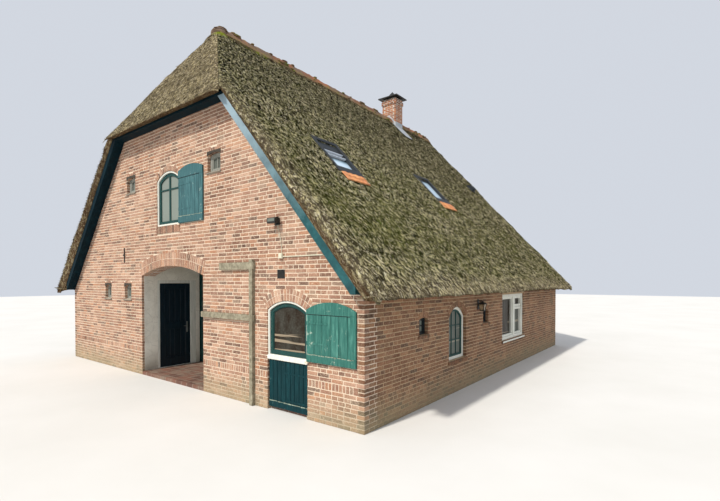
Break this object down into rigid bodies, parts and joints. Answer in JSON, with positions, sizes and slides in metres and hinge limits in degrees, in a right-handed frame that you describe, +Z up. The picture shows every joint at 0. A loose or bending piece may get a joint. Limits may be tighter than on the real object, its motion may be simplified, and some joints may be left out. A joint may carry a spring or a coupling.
{
  "type": "thatched cottage",
  "caption": "Brick farm cottage under a steep thatched roof with a half-hipped front gable, arched entrance recess, stable door, shutters and brick chimney.",
  "frame": {"origin": "on the ground, under the middle of the whole house with its roof", "axes": "+Z up, -Y out of the front gable, +X to the right seen from the front"},
  "size_m": [10.76, 11.12, 8.699],
  "materials": {
    "brick": "matt weathered brickwork with pale joints",
    "chimney_brick": "matt orange brickwork",
    "plaster": "matt lime plaster",
    "floor_tiles": "worn quarry tiles",
    "old_wood": "bare grey weathered wood",
    "thatch": "matt weathered reed with moss",
    "ridge_tile": "matt weathered terracotta",
    "green_paint": "satin green paint on boards",
    "white_paint": "satin off-white paint on joinery",
    "dark_paint": "gloss near-black green paint on joinery",
    "glass": "clear window glass",
    "lead": "dull grey sheet metal",
    "dark_metal": "satin dark paint on metal"
  },
  "bodies": {
    "house": {"front_wall_left": "brick", "front_wall_middle": "brick", "front_wall_right": "brick", "front_wall_gable": "brick", "rear_wall": "brick", "side_wall_right": "brick", "side_wall_left": "brick", "chimney_stack": "chimney_brick", "recess_wall_right": "plaster", "ground_floor": "floor_tiles", "loft_floor": "old_wood", "recess_ceiling": "old_wood", "climber_rails": "old_wood", "thatch_right": "thatch", "thatch_left": "thatch", "thatch_hip": "thatch", "ridge_tiles_front": "ridge_tile", "ridge_tiles_rear": "ridge_tile", "roof_light_apron_front": "ridge_tile", "roof_light_apron_rear": "ridge_tile", "bargeboard_right": "green_paint", "bargeboard_left": "green_paint", "bargeboard_hip": "green_paint", "bargeboard_rear": "green_paint", "low_window_left": "white_paint", "low_window_right": "white_paint", "loft_window_left": "white_paint", "loft_window_right": "white_paint", "side_window_arched": "white_paint", "wide_window": "white_paint", "left_window": "white_paint", "rear_window_left": "white_paint", "rear_window_right": "white_paint", "rear_window_upper": "white_paint", "stable_window_frame": "white_paint", "upper_window_frame": "white_paint", "entrance_frame": "white_paint", "side_window_front": "dark_paint", "side_window_middle": "dark_paint", "barn_doors": "dark_paint", "stable_window_glass": "glass", "upper_window_glass": "glass", "chimney_flashing": "lead", "chimney_cap": "dark_metal", "roof_light_front": "dark_metal", "roof_light_rear": "dark_metal", "roof_vent": "dark_metal", "wall_lantern": "dark_metal", "flood_light": "dark_metal"},
    "entrance_leaf": {"entrance_door": "dark_paint", "entrance_handle": "dark_metal"},
    "stable_leaf": {"stable_door_leaf": "green_paint"},
    "ground_shutter_leaf": {"ground_shutter": "green_paint"},
    "upper_shutter_leaf": {"upper_shutter": "green_paint"}
  },
  "joints": [
    {"name": "entrance_door_hinge", "type": "hinge", "parent": "house", "child": "entrance_leaf", "pos_m": [-1.235, -4.69, 1.05], "axis": [0, 0, 1], "range_deg": [0, 90]},
    {"name": "stable_door_hinge", "type": "hinge", "parent": "house", "child": "stable_leaf", "pos_m": [3.878, -5.085, 0.42], "axis": [0, 0, 1], "range_deg": [0, 90]},
    {"name": "ground_shutter_hinge", "type": "hinge", "parent": "house", "child": "ground_shutter_leaf", "pos_m": [3.88, -5.123, 1.3], "axis": [0, 0, 1], "range_deg": [-180, 0]},
    {"name": "upper_shutter_hinge", "type": "hinge", "parent": "house", "child": "upper_shutter_leaf", "pos_m": [0.37, -5.123, 3.75], "axis": [0, 0, 1], "range_deg": [-180, 0]}
  ]
}
